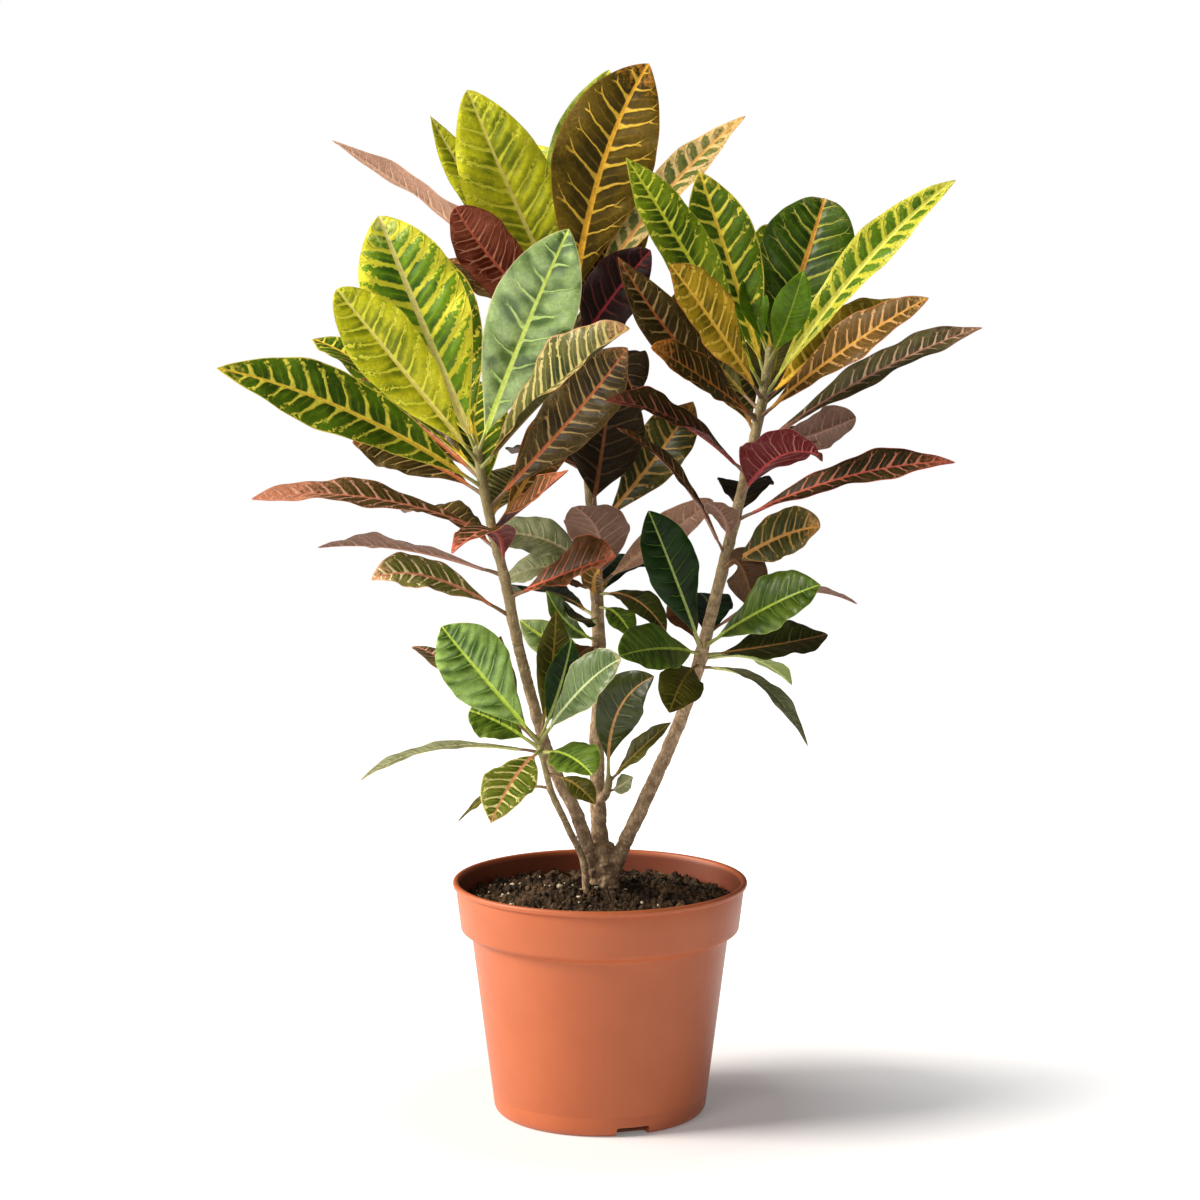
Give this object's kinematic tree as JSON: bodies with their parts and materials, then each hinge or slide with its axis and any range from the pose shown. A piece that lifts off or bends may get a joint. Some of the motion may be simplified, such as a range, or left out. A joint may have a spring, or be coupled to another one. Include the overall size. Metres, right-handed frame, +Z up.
{
  "type": "potted croton",
  "caption": "Croton house plant with broad gold, bronze and dark red leaves on forked woody stems, in a round terracotta-coloured plastic pot of soil.",
  "frame": {"origin": "middle of the pot's flat underside, on the surface that it stands on", "axes": "+Z straight up through the pot, -Y towards the side of the plant that the picture shows, +X to that view's right"},
  "size_m": [0.4732, 0.3035, 0.6734],
  "materials": {
    "pot_plastic": "satin",
    "potting_mix": "matte",
    "bark": "matte",
    "gold_leaf": "semi-gloss",
    "bronze_leaf": "semi-gloss",
    "dark_leaf": "semi-gloss",
    "olive_leaf": "semi-gloss",
    "green_leaf": "semi-gloss"
  },
  "bodies": {
    "root": {"pot": "pot_plastic", "soil": "potting_mix", "trunk": "bark", "left_crown": "gold_leaf", "centre_crown": "bronze_leaf", "right_crown": "dark_leaf", "centre_lower_leaves": "olive_leaf", "right_lower_leaves": "green_leaf", "sucker": "green_leaf", "twig": "green_leaf"}
  },
  "joints": []
}
